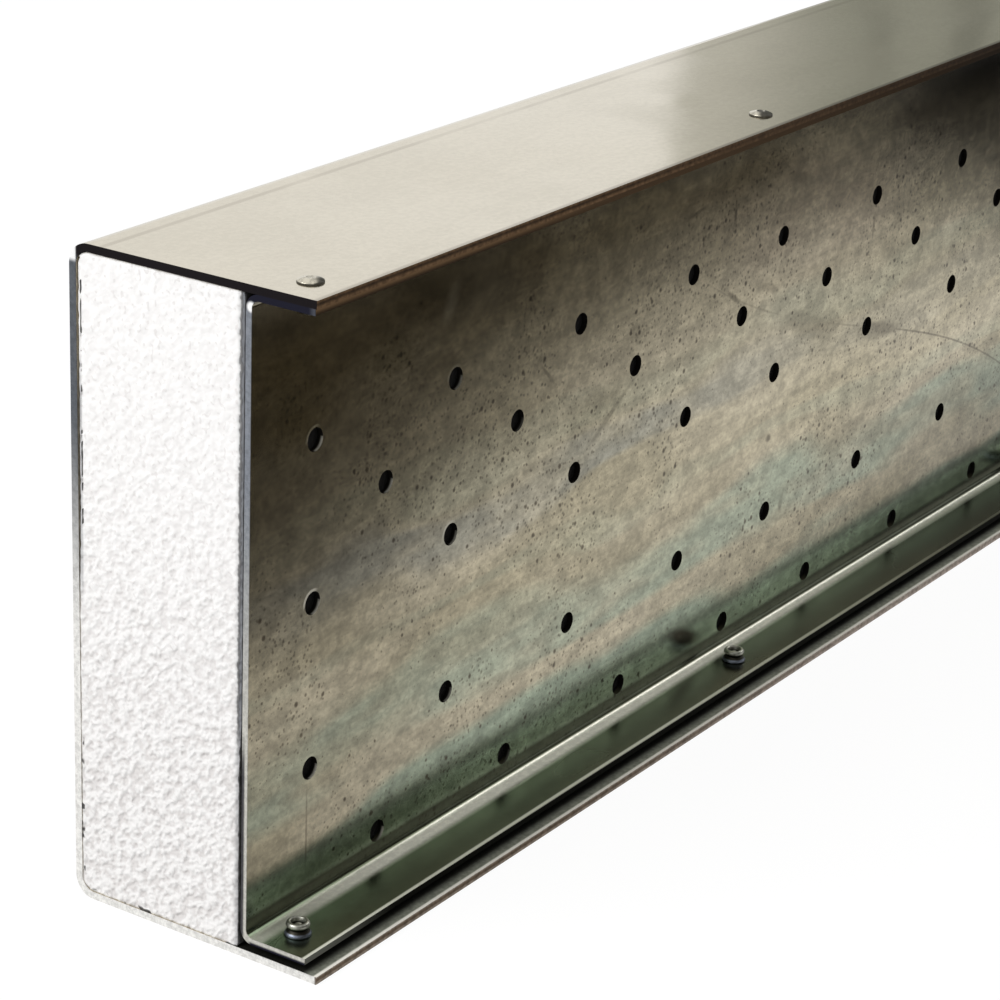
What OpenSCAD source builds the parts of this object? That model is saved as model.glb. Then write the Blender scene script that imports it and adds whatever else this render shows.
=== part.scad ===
// Insulated box lintel: two folded galvanised channels, riveted together round a foam core.
// X runs along the length. The plain back web faces +Y, the perforated web and the open
// recess in front of it face -Y, and the lintel stands on its bottom flange at Z = 0.
// The origin is at the middle of the bottom face. In the sections, depth is measured from
// the outer face of the back web towards the flange edges.

/* [Lintel] */
// Length from end to end
lintel_length = 1200; // [600:50:2400]
// Height from the bearing face to the top face
lintel_height = 215; // [190:5:300]

/* [Outer channel] */
// Thickness of the outer sheet
outer_sheet = 2.5; // [1.5:0.1:3.2]
// Width of the top flange, measured from the back face
top_flange_w = 91; // [89:1:110]
// Width of the bottom flange, measured from the back face
bottom_flange_w = 95; // [92:1:120]
// Outside radius of the two folds in the outer sheet
outer_fold_r = 7; // [5:0.5:10]

/* [Inner channel] */
// Thickness of the inner sheet
inner_sheet = 2; // [1.5:0.1:3]
// Distance from the back face to the open face of the perforated web
web_depth = 68; // [50:1:70]
// How far the inner top flange stops short of the outer one
top_setback = 0.5; // [0:0.5:4]
// How far the inner bottom flange stops short of the outer one
bottom_setback = 4.5; // [0:0.5:8]
// Gap between the two bottom flanges
flange_gap = 2.7; // [0:0.1:6]
// Outside radius of the two folds in the inner sheet
inner_fold_r = 4.5; // [3.5:0.5:7]

/* [Perforation] */
// Diameter of the punched holes
hole_d = 7.5; // [4:0.5:12]
// Distance between holes along a row
hole_pitch = 72.5; // [40:0.5:90]
// Number of holes in each group of a row
group_holes = 4; // [2:1:6]
// Plain gap, centre to centre, from one group to the next
group_gap = 63.5; // [40:0.5:120]
// Distance from the end to the first holes
first_hole = 31; // [20:1:70]
// Least distance from a hole's centre to the far end
last_hole_margin = 15; // [10:1:40]
// Height of the upper straight row above mid-height
upper_row = 52.5; // [45:0.5:60]
// Depth of the lower straight row below mid-height
lower_row = 55; // [40:0.5:65]
// Height of the upper staggered row above mid-height
upper_stagger_row = 28.5; // [15:0.5:38]
// Height of the lowest, staggered row above the inner bottom flange
bottom_row = 9.3; // [8:0.1:20]

/* [Rivets] */
// Diameter of the rivet shank
shank_d = 3.8; // [3:0.1:6]
// Diameter of the domed and countersunk heads
head_d = 8.2; // [7:0.1:12]
// Height of the domed heads on the top face
head_h = 1.5; // [0.8:0.1:3]
// Depth of the countersunk heads in the bottom face
sunk_head_h = 1.3; // [0.8:0.1:1.4]
// Radius of the set tail where it spreads on the sheet
tail_foot_r = 4.7; // [4:0.1:6]
// Radius of the set tail at its waist
tail_waist_r = 3.5; // [3.3:0.1:3.9]
// Radius of the set tail at its top ring
tail_ring_r = 4.1; // [4:0.1:5]
// Height of the set tail
tail_h = 5; // [4:0.1:7]
// Radius of the hollow left in the tail
tail_hollow_r = 2.4; // [1.5:0.1:2.8]
// Depth of the hollow left in the tail
tail_hollow_h = 1.8; // [0.5:0.1:2.5]
// Gap all round a rivet in its hole
rivet_clearance = 0.1; // [0.1:0.1:0.5]
// How much nearer to the web the top rivets sit than the middle of their flange
top_rivet_shift = 0.75; // [0:0.25:2]
// How much nearer to the web the bottom rivets sit than the middle of their flange
bottom_rivet_shift = 0; // [0:0.25:2]
// Distance from each end to the nearest top rivet
top_rivet_margin = 13.5; // [8:0.5:30]
// Distance from each end to the nearest bottom rivet
bottom_rivet_margin = 11.5; // [8:0.5:30]
// Distance between top rivets
top_rivet_pitch = 256; // [150:1:400]
// Distance between bottom rivets
bottom_rivet_pitch = 264; // [150:1:400]

/* [Foam core] */
// Gap between the foam and each web
foam_side_gap = 1.2; // [0:0.1:3]
// Gap between the foam and the top flange
foam_top_gap = 1.2; // [0:0.1:3]
// How far the foam stops short of each end
foam_end_inset = 1; // [0:0.5:20]

/* [Hidden] */
steel_light = "#b9b8a8";
steel_dark = "#8a8878";
foam_white = "#f3f1ee";
rivet_steel = "#9a9a92";

// Overrun that carries a cut past the face it opens
cut_over = 1;
// Sides of a circle
fine = 48;

back_y = bottom_flange_w / 2;
mid_height = lintel_height / 2;
inner_web_back = web_depth - inner_sheet;
inner_base_z = outer_sheet + flange_gap;
inner_top_z = lintel_height - outer_sheet;
inner_flange_top_z = inner_base_z + inner_sheet;
inner_top_edge = top_flange_w - top_setback;
inner_bottom_edge = bottom_flange_w - bottom_setback;
foam_edge_r = outer_fold_r - outer_sheet;
top_rivet_depth = (web_depth + inner_top_edge) / 2 - top_rivet_shift;
bottom_rivet_depth = (web_depth + inner_bottom_edge) / 2 - bottom_rivet_shift;
rivet_hole_r = shank_d / 2 + rivet_clearance;
top_grip = outer_sheet + inner_sheet;
bottom_grip = inner_flange_top_z;
group_pitch = (group_holes - 1) * hole_pitch + group_gap;
straight_rows = [mid_height - lower_row, mid_height, mid_height + upper_row];
staggered_rows = [inner_flange_top_z + bottom_row, mid_height + upper_stagger_row];

// Distances from the near end of every hole in a row whose first hole stands at start
function row_holes(start) = [
    for (group = [0 : floor(lintel_length / group_pitch)])
        for (i = [0 : group_holes - 1])
            let (x = start + group * group_pitch + i * hole_pitch)
                if (x <= lintel_length - last_hole_margin) x
];

// Distances from the near end of a row of rivets: an even pitch from the near end, and one
// rivet at the far end
function rivet_row(margin, pitch) = concat(
    [for (x = [margin : pitch : lintel_length - margin - pitch / 3]) x],
    [lintel_length - margin]
);

top_rivet_row = rivet_row(top_rivet_margin, top_rivet_pitch);
bottom_rivet_row = rivet_row(bottom_rivet_margin, bottom_rivet_pitch);

// Places its child at a distance from the near end, a depth from the back face and a height
module at(from_end, depth, height) {
    translate([from_end - lintel_length / 2, back_y - depth, height]) children();
}

// Extrudes a section, drawn as depth against height, along the length between two insets
module along_length(inset = 0) {
    at(inset, 0, 0)
        rotate([90, 0, 90])
            linear_extrude(height = lintel_length - 2 * inset)
                mirror([1, 0])
                    children();
}

// A rectangle with its two corners on the web side rounded
module folded_block(depth, height, fold_r) {
    difference() {
        square([depth, height]);
        for (corner = [0, 1])
            translate([0, corner * height])
                mirror([0, corner])
                    difference() {
                        translate([-cut_over, -cut_over]) square(fold_r + cut_over);
                        translate([fold_r, fold_r]) circle(r = fold_r, $fn = fine);
                    }
    }
}

// Section of one folded sheet: a web with a flange turned at its top and at its bottom
module channel_section(height, top_w, bottom_w, sheet, fold_r) {
    reach = max(top_w, bottom_w) + cut_over;
    difference() {
        folded_block(reach, height, fold_r);
        translate([sheet, sheet]) folded_block(reach, height - 2 * sheet, fold_r - sheet);
        translate([top_w, height / 2]) square([reach, height]);
        translate([bottom_w, -cut_over]) square([reach, height / 2 + cut_over]);
    }
}

// The punched holes of every row, each cut through the inner web
module perforation() {
    for (z = straight_rows)
        hole_row(z, first_hole);
    for (z = staggered_rows)
        hole_row(z, first_hole + hole_pitch / 2);
}

module hole_row(height, start) {
    for (x = row_holes(start))
        at(x, inner_web_back - cut_over, height)
            rotate([90, 0, 0])
                cylinder(d = hole_d, h = inner_sheet + 2 * cut_over, $fn = fine);
}

// Clearance holes for a row of rivets, upwards from a height
module rivet_holes(row, depth, from_z, length) {
    for (x = row)
        at(x, depth, from_z) cylinder(r = rivet_hole_r, h = length, $fn = fine);
}

module outer_channel() {
    color(steel_light)
        difference() {
            along_length()
                channel_section(
                    lintel_height, top_flange_w, bottom_flange_w, outer_sheet, outer_fold_r
                );
            rivet_holes(
                top_rivet_row, top_rivet_depth,
                lintel_height - outer_sheet - cut_over, outer_sheet + 2 * cut_over
            );
            rivet_holes(
                bottom_rivet_row, bottom_rivet_depth, -cut_over, outer_sheet + 2 * cut_over
            );
            for (x = bottom_rivet_row)
                at(x, bottom_rivet_depth, 0) sunk_seat();
        }
}

module inner_channel() {
    color(steel_dark)
        difference() {
            along_length()
                translate([inner_web_back, inner_base_z])
                    channel_section(
                        inner_top_z - inner_base_z,
                        inner_top_edge - inner_web_back,
                        inner_bottom_edge - inner_web_back,
                        inner_sheet, inner_fold_r
                    );
            perforation();
            rivet_holes(
                top_rivet_row, top_rivet_depth,
                inner_top_z - inner_sheet - cut_over, inner_sheet + 2 * cut_over
            );
            rivet_holes(
                bottom_rivet_row, bottom_rivet_depth,
                inner_base_z - cut_over, inner_sheet + 2 * cut_over
            );
        }
}

// Foam block between the webs, standing on the outer bottom flange
module foam_core() {
    foam_w = inner_web_back - outer_sheet - 2 * foam_side_gap;
    foam_h = lintel_height - 2 * outer_sheet - foam_top_gap;
    color(foam_white)
        along_length(foam_end_inset)
            translate([outer_sheet + foam_side_gap, outer_sheet])
                intersection() {
                    folded_block(foam_w, foam_h, foam_edge_r);
                    translate([foam_w, 0])
                        mirror([1, 0]) folded_block(foam_w, foam_h, foam_edge_r);
                }
}

// Low dome that stands on the plane Z = 0
module domed_head() {
    dome_r = (pow(head_d / 2, 2) + pow(head_h, 2)) / (2 * head_h);
    rotate_extrude($fn = fine)
        intersection() {
            translate([0, head_h - dome_r]) circle(r = dome_r, $fn = fine);
            square([head_d / 2, head_h]);
        }
}

// Countersunk head, flush with the plane Z = 0
module sunk_head() {
    cylinder(d1 = head_d, d2 = shank_d, h = sunk_head_h, $fn = fine);
}

// Countersink that clears such a head all round
module sunk_seat() {
    slope = (head_d - shank_d) / 2 / sunk_head_h;
    translate([0, 0, -cut_over])
        cylinder(
            r1 = head_d / 2 + rivet_clearance + slope * cut_over,
            r2 = rivet_hole_r,
            h = sunk_head_h + cut_over,
            $fn = fine
        );
}

// Set tail of a hollow rivet, standing on the sheet at Z = 0
module set_tail() {
    rotate_extrude($fn = fine)
        polygon([
            [0, 0],
            [tail_foot_r - 0.4, 0],
            [tail_foot_r, 0.15 * tail_h],
            [tail_waist_r, 0.45 * tail_h],
            [tail_ring_r, 0.65 * tail_h],
            [tail_ring_r, 0.85 * tail_h],
            [tail_ring_r - 0.6, tail_h],
            [tail_hollow_r, tail_h],
            [tail_hollow_r, tail_h - tail_hollow_h],
            [0, tail_h - tail_hollow_h],
        ]);
}

// Rivet with its domed head on the top face and its tail under the inner flange
module top_rivet(i) {
    color(rivet_steel)
        at(top_rivet_row[i], top_rivet_depth, lintel_height) {
            domed_head();
            translate([0, 0, -top_grip]) cylinder(d = shank_d, h = top_grip, $fn = fine);
            translate([0, 0, -top_grip]) mirror([0, 0, 1]) set_tail();
        }
}

// Rivet with its head sunk flush in the bearing face and its tail on the inner flange
module bottom_rivet(i) {
    color(rivet_steel)
        at(bottom_rivet_row[i], bottom_rivet_depth, 0) {
            sunk_head();
            cylinder(d = shank_d, h = bottom_grip, $fn = fine);
            translate([0, 0, bottom_grip]) set_tail();
        }
}

outer_channel();
inner_channel();
foam_core();
for (i = [1 : len(top_rivet_row)])
    top_rivet(i - 1);
for (i = [1 : len(bottom_rivet_row)])
    bottom_rivet(i - 1);
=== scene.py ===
"""Finish of a riveted, insulated box lintel: zinc sheet, bead foam, blind rivets and a studio.

Run as a script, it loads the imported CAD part, gives its two channels their zinc, builds the
foam core and the rivets anew over their solids, and sets the floor, lamps and camera.
"""

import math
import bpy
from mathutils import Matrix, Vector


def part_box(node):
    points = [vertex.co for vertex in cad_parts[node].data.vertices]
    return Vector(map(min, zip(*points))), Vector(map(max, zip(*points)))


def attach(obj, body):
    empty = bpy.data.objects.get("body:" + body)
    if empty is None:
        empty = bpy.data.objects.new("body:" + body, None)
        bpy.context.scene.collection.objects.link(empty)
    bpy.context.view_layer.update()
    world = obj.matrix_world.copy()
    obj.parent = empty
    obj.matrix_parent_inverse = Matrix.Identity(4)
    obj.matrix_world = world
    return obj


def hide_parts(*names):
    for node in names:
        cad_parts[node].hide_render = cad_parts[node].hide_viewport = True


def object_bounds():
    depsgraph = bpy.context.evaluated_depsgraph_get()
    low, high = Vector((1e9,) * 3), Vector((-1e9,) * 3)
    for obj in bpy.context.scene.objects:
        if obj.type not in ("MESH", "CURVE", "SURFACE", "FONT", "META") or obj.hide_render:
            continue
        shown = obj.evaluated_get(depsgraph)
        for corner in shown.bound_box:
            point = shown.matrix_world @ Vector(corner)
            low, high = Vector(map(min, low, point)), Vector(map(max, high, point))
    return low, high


bl_info = {
    "name": "Insulated box lintel",
    "version": (1, 0, 0),
    "blender": (4, 5, 0),
    "location": "3D View > Sidebar > Lintel",
    "description": "Zinc, foam and rivet finish for a riveted box lintel",
    "category": "Object",
}

import bmesh
import bpy
from bpy.props import FloatProperty, FloatVectorProperty, IntProperty, PointerProperty
from mathutils import Matrix, Vector, noise

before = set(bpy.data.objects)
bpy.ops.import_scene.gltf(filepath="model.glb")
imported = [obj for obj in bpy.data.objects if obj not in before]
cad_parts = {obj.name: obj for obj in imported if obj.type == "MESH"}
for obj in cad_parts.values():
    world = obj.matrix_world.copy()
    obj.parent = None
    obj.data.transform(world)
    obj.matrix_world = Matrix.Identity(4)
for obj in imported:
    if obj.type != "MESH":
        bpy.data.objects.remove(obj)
CAD_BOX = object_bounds()

ROOT = "root"
OUTER_LOW, OUTER_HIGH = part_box("outer_channel")
INNER_LOW, INNER_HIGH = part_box("inner_channel")
TOP_RIVETS = [n for n in sorted(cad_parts) if n.startswith("top_rivet_")]
BOTTOM_RIVETS = [n for n in sorted(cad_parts) if n.startswith("bottom_rivet_")]
CAD_TAIL_H = 0.005
END_X = CAD_BOX[1].x
TOP_LIP_Y = OUTER_HIGH.y - 0.091  # front edge of the top flange
CUT_TOP_Z = OUTER_HIGH.z - 0.005  # above it, the sheared ends are dark
WEB_Y = INNER_HIGH.y - 0.002  # open face of the perforated web
FLANGE_Z = INNER_LOW.z + 0.002  # upper face of the inner bottom flange
FOOT_Z, FOOT_FADE = 0.078, 0.014  # below it, the foam stands off the perforated web
HALF_WAY = 0.1  # a height between the flanges
HAIR = 0.0002  # how near a place is to a face that it lies on

FACING = 0.9  # least part of a normal that faces an axis
WAVE_DEPTH = 0.004
MATT_SPECULAR = 0.05
WHITE = (1, 1, 1)
HALF_GREY = (0.5, 0.5, 0.5)


# ------------------------ settings


def size(name, description, default, least=0.0, most=0.02):
    """A length in metres that the panel shows in the scene's own unit."""
    return FloatProperty(
        name=name, description=description, default=default, min=least, max=most, unit="LENGTH",
        precision=5,
    )


def tint(name, description, default):
    """A colour as scene-linear red, green and blue."""
    return FloatVectorProperty(
        name=name, description=description, default=default, subtype="COLOR", size=3, min=0, max=1
    )


def share(name, description, default, most=1.0):
    """A plain number from nothing to a limit."""
    return FloatProperty(name=name, description=description, default=default, min=0, max=most)


class LintelOuterZinc(bpy.types.PropertyGroup):
    """Zinc of the outer channel."""

    bright: tint("Bright zinc", "Zinc of the top flange and back web", (0.67, 0.615, 0.495))
    dull: tint("Dull zinc", "Cloudy patches in it", (0.6, 0.55, 0.44))
    crease: tint("Roll crease", "Faint line the rolls leave beside the back fold", (0.49, 0.44, 0.345))
    crease_inset: size("Crease inset", "From the back face to the roll crease", 0.0122)
    crease_width: size("Crease width", "Width of the roll crease", 0.0016)
    strip: tint("Bottom strip", "Dull zinc of the bottom flange beyond the inner one", (0.3, 0.315, 0.26))
    # Painted highlight: the bright line along the sheared edges of the bottom flange.
    edge: tint("Rolled edge", "Bright line where the shears rolled an edge over", (0.95, 0.93, 0.85))
    edge_width: size("Edge width", "Width of that bright line", 0.001)
    # Painted shadow where the bottom flanges lap and under the inner flange.
    shadow: tint("Lap shadow", "Dirt where the bottom flanges lap", (0.012, 0.012, 0.01))
    # The tones of the sheared ends by height stand in for light: painted shade by the top flange and
    # paler painted light toward the foot.
    cut_top: tint("Cut edge, top", "Sheared end of the sheet by the top flange", (0.01, 0.008, 0.009))
    cut_middle: tint("Cut edge, web", "Sheared end of the web", (0.11, 0.12, 0.135))
    cut_foot: tint("Cut edge, foot", "Sheared end by the bottom flange", (0.82, 0.81, 0.78))
    lip: tint("Top lip", "Sheared long edge of the top flange", (0.085, 0.05, 0.026))
    lip_near: tint("Bottom lip, near end", "Sheared long edge of the bottom flange", (0.3, 0.25, 0.2))
    lip_far: tint("Bottom lip, far end", "The same edge, farther along", (0.5, 0.43, 0.38))
    roughness: share("Roughness", "Gloss of the sheet, from mirror to matt", 0.12)


class LintelInnerZinc(bpy.types.PropertyGroup):
    """Zinc of the perforated inner channel."""

    bright: tint("Bright zinc", "Zinc of the perforated web", (0.465, 0.414, 0.302))
    dull: tint("Dull zinc", "Cloudy patches in it", (0.34, 0.3, 0.2))
    green: tint("Green bands", "Lengthwise bands left by the passivation bath", (0.32, 0.375, 0.285))
    blue: tint("Blue band", "Band along the middle row of holes", (0.25, 0.26, 0.235))
    brown: tint("Brown clouds", "Warm clouds in the upper web", (0.3, 0.235, 0.17))
    # Partly a stain and partly a painted reflection of the flange.
    foot: tint("Foot band", "Green stain along the bottom of the web", (0.265, 0.33, 0.25))
    # Painted light: paler zinc low on the web.
    foot_low: tint("Foot band, below", "The lowest part of that band", (0.78, 0.97, 0.73))
    flange: tint("Bottom flange", "Zinc of the inner bottom flange", (0.16, 0.218, 0.152))
    # Painted highlight: the pale band along the bottom fold; also a pale spot on the web.
    rubbed_and_highlight: tint("Rubbed fold", "Bare zinc along the bottom fold", (0.93, 0.91, 0.8))
    # Painted shade and grime in the crease above the bottom fold.
    grime_and_shade: tint("Grime", "Dirt line above the bottom fold", (0.045, 0.043, 0.026))
    # Painted highlight: the bright line along the bottom flange's front edge.
    edge: tint("Rolled edge", "Bright line on the bottom flange's edge", (0.78, 0.79, 0.68))
    edge_width: size("Edge width", "Width of that bright line", 0.0014)
    specks: tint("Specks", "Small pits and dirt", (0.05, 0.036, 0.02))
    # Smudges and scribed lines, and the painted shade toward the near end.
    smudge_and_shade: tint("Smudges", "Rubbed dirt and scribed lines", (0.06, 0.047, 0.03))
    # Painted shade: near-black walls in the holes.
    bore: tint("Hole walls", "Punched walls of the holes", (0.006, 0.005, 0.004))
    # Painted highlight: pale crescents on the hole rims and the lit lower part of the far walls.
    rim: tint("Hole rims", "Bare zinc on the rims of the holes", (0.75, 0.72, 0.62))
    # The tones of the sheared ends stand in for light: painted shade by the top flange, paler painted
    # light toward the foot.
    cut_top: tint("Cut edge, top flange", "Sheared end of the short top flange", (0.012, 0.012, 0.022))
    cut_web: tint("Cut edge, web", "Sheared end of the web", (0.22, 0.235, 0.265))
    cut_foot: tint("Cut edge, foot", "Sheared end of the web's foot", (0.56, 0.55, 0.5))
    lip: tint("Top lip", "Sheared long edge of the short top flange", (0.05, 0.03, 0.015))
    # Painted shade: near black on the bottom flange's sheared edge and on the last rim of its top.
    lip_low: tint("Bottom lip", "Sheared long edge of the bottom flange", (0.002, 0.002, 0.001))
    roughness: share("Roughness", "Gloss of the sheet, from mirror to matt", 0.2)


class LintelFoam(bpy.types.PropertyGroup):
    """Bead foam of the core."""

    white: tint("Sawn foam", "Sawn end of the core", (0.96, 0.95, 0.94))
    shade: tint("Foam hollows", "Hollows between the beads", (0.66, 0.625, 0.61))
    # Painted shade: near-black sides of the core, which also darken the holes and gaps.
    side: tint("Foam sides", "Dark coat on the sides of the core", (0.004, 0.0036, 0.0032))
    bead: size("Bead", "Size of one bead", 0.0023, 0.001, 0.008)
    relief: size("Relief", "Depth of the hollows between beads", 0.0003, most=0.002)
    ragged: size("Ragged edge", "How far beads are torn from the end's edges", 0.0004, most=0.004)
    web_gap: size("Web gap", "Left free beside the perforated web", 0.0003, 0.0001, 0.003)
    foot_gap: size("Foot gap", "Cut away beside the foot of that web", 0.0008, most=0.004)
    # Painted shade on the sawn end's rim beside the webs.
    rim_shade: tint("Bruised rim", "Rim of the sawn end beside the perforated web", (0.2, 0.205, 0.22))
    back_gap: size("Back gap", "Left free beside the upper back web at the end", 0.0005, most=0.003)
    inset: size("Inset", "From the sheet ends to the sawn face", 0.0002, 0.0001)
    corner: size("Back corner", "Radius of the long edges at the back", 0.0045)
    web_corner: size("Web corner", "Radius of the long edges at the perforated web", 0.0015)
    grid: size("Grid", "Spacing of the mesh on the sawn ends", 0.0007, 0.0005, 0.005)


class LintelRivets(bpy.types.PropertyGroup):
    """Blind rivets, as sections from the sheet face outwards."""

    head_r: size("Head radius", "Radius of the flange of a domed head", 0.0041)
    head_h: size("Head height", "Height of a domed head", 0.0015)
    shank_r: size("Shank radius", "Radius of the body", 0.0019)
    sunk_h: size("Sunk head", "Depth of a countersunk head", 0.0013)
    mandrel_r: size("Mandrel radius", "Radius of the broken mandrel", 0.0011)
    tail_h: size("Tail height", "Height of a set tail", 0.0046)
    tail_foot_r: size("Tail foot", "Radius where the tail spreads on the sheet", 0.0043)
    tail_waist_r: size("Tail waist", "Radius of its waist", 0.0032)
    tail_ring_r: size("Tail ring", "Radius of its top ring", 0.0038)
    tail_bore_r: size("Tail bore", "Radius of the hollow in its top", 0.0023)
    tail_bore_h: size("Tail bore depth", "Depth of that hollow", 0.0017)
    steps: IntProperty(name="Steps", description="Sides of a turned rivet", default=48, min=12, max=96)
    steel: tint("Tail steel", "Plated steel of the set tails", (0.34, 0.345, 0.3))
    head: tint("Head steel", "Plated steel of the heads", (0.6, 0.56, 0.46))
    # Painted shade in the waist of a tail, on the top rivets below their flanges and round a head.
    grime_and_shade: tint("Grime", "Dirt in the waist of a tail and round a head", (0.03, 0.028, 0.022))
    # Painted reflection: a bluish tone at the foot of a tail.
    foot: tint("Tail foot", "Blued steel at the foot of a tail", (0.16, 0.18, 0.22))
    roughness: share("Roughness", "Gloss of the plating", 0.4)


class LintelStudio(bpy.types.PropertyGroup):
    """Floor, lamps, cards and camera."""

    floor: tint("Floor", "Paint of the floor", (0.8, 0.8, 0.8))
    glow: share("Floor glow", "Light of its own that the floor shows the camera", 0.86)
    ambient: share("Ambient", "Light of the room on matt surfaces", 0.52, 4)
    key_power: FloatProperty(name="Key lamp", description="Power", default=36, min=0, unit="POWER")
    fill_power: FloatProperty(name="Soft box", description="Power", default=30, min=0, unit="POWER")
    card_near: tint("Grey card, near side", "Card that the top flange mirrors", (0.58, 0.58, 0.54))
    card_middle: tint("Grey card, middle", "The same card, farther round", (0.32, 0.33, 0.29))
    card_far: tint("Grey card, far side", "The same card, at its far side", (0.22, 0.235, 0.2))
    flag_left: tint("Dark card, left", "Low card that the perforated web mirrors", (0.062, 0.052, 0.032))
    flag_right: tint("Dark card, right", "Its right half", (0.008, 0.007, 0.005))


# ------------------------ shader nodes


class Nodes:
    """Short ways to add and join the nodes of a tree."""

    def __init__(self, tree):
        self.tree = tree

    def add(self, kind, inputs=(), **settings):
        """A new node, with its inputs in their order or in a dict by name or number."""
        node = self.tree.nodes.new(kind)
        for key, value in settings.items():
            setattr(node, key, value)
        for key, value in inputs.items() if isinstance(inputs, dict) else enumerate(inputs):
            self.put(node.inputs[key], value)
        return node

    def put(self, socket, value):
        """Links a socket to another one, or sets it to a number or a colour."""
        if isinstance(value, bpy.types.NodeSocket):
            self.tree.links.new(value, socket)
        elif socket.type == "RGBA":
            socket.default_value = (*value[:3], 1)
        else:
            socket.default_value = value

    def math(self, operation, *values):
        return self.add("ShaderNodeMath", values, operation=operation).outputs[0]

    def chain(self, operation, first, *others):
        for value in others:
            first = self.math(operation, first, value)
        return first

    def both(self, *masks):
        """Product of several masks."""
        return self.chain("MULTIPLY", *masks)

    def most(self, *masks):
        """Largest of several masks."""
        return self.chain("MAXIMUM", *masks)

    def plus(self, *values):
        return self.chain("ADD", *values)

    def less(self, value, taken):
        return self.math("SUBTRACT", value, taken)

    def scaled(self, value, factor, shift):
        """A value times a factor, and then a shift added."""
        return self.math("MULTIPLY_ADD", value, factor, shift)

    def over(self, value, limit):
        """1 where a value is over a limit, 0 elsewhere."""
        return self.math("GREATER_THAN", value, limit)

    def under(self, value, limit):
        """1 where a value is under a limit, 0 elsewhere."""
        return self.math("LESS_THAN", value, limit)

    def rise(self, value, low, high, least=0.0, most=1.0):
        """A smooth step that goes from least to most between low and high."""
        inputs = (value, low, high, least, most)
        return self.add("ShaderNodeMapRange", inputs, interpolation_type="SMOOTHSTEP").outputs[0]

    def vary(self, pattern, least, most):
        """The whole swing of a noise, from least to most."""
        return self.rise(pattern, 0.3, 0.7, least, most)

    def strip(self, value, middle, half, soft):
        """A mask that is 1 within half of the middle and fades out over soft."""
        return self.rise(self.math("ABSOLUTE", self.less(value, middle)), half + soft, half)

    def mix(self, factor, first, second, blend="MIX"):
        colors = {0: factor, 6: first, 7: second}
        return self.add("ShaderNodeMix", colors, data_type="RGBA", blend_type=blend).outputs[2]

    def shade(self, color, *factors):
        """A colour times some numbers."""
        for factor in factors:
            color = self.mix(1, color, factor, "MULTIPLY")
        return color


class Finish(Nodes):
    """A new material with the place and direction of its surface, and its colour so far."""

    def __init__(self, name, color=None):
        self.material = bpy.data.materials.new(name)
        self.material.use_nodes = True
        super().__init__(self.material.node_tree)
        self.tree.nodes.clear()
        self.color = color
        place = self.add("ShaderNodeTexCoord").outputs
        self.object = place["Object"]
        self.x, self.y, self.z = self.add("ShaderNodeSeparateXYZ", [self.object]).outputs
        facing = self.add("ShaderNodeSeparateXYZ", [place["Normal"]])
        self.facing_x, self.facing_y, self.facing_z = facing.outputs

    def paint(self, color, *masks):
        """Lays a colour over the one so far, where all the masks are 1."""
        self.color = self.mix(self.both(*masks), self.color, color)

    def tone(self, *factors):
        """Makes the colour so far lighter or darker."""
        self.color = self.shade(self.color, *factors)

    def stretch(self, scale, turn=(0, 0, 0), place=(0, 0, 0), kind="POINT"):
        """Object coordinates scaled and turned. TEXTURE turns first and divides by the scale."""
        inputs = (self.object, place, turn, scale)
        return self.add("ShaderNodeMapping", inputs, vector_type=kind).outputs[0]

    def noise(self, scale, detail, rough, *stretch):
        """A noise, on coordinates that stretch() alters where it is told how."""
        place = self.stretch(*stretch) if stretch else self.object
        inputs = {"Vector": place, "Scale": scale, "Detail": detail, "Roughness": rough}
        return self.add("ShaderNodeTexNoise", inputs).outputs[0]

    def smear(self, x, z, long, wide, tilt, strength, core=0.3):
        """A soft oval on the web: its middle, half its length and width, and its tilt."""
        turned = self.stretch((long, 1, wide), (0, -math.radians(tilt), 0), (x, 0, z), "TEXTURE")
        reach = self.add("ShaderNodeVectorMath", [turned], operation="LENGTH").outputs["Value"]
        return self.rise(reach, 1, core, 0, strength)

    def bump(self, height, strength, distance):
        inputs = {"Strength": strength, "Distance": distance, "Height": height}
        return self.add("ShaderNodeBump", inputs).outputs[0]

    def surface(self, roughness, normal, metallic=0.0, specular=MATT_SPECULAR):
        """Ends the tree in one principled shader. Constants go straight to its sockets."""
        return self.end(self.add("ShaderNodeBsdfPrincipled", {
            "Base Color": self.color, "Roughness": roughness, "Metallic": metallic,
            "Normal": normal, "Specular IOR Level": specular,
        }))

    def end(self, shader):
        self.add("ShaderNodeOutputMaterial", [shader.outputs[0]])
        return self.material


# ------------------------ zinc


def end_mask(coat):
    """1 on the sheared ends of the lintel, 0 elsewhere."""
    return coat.over(coat.math("ABSOLUTE", coat.x), END_X - HAIR)


def lip_mask(coat, front):
    """1 on the sheared long edges along the open side, 0 elsewhere."""
    return coat.both(coat.under(coat.facing_y, -FACING), coat.under(coat.y, front + 0.001))


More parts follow.
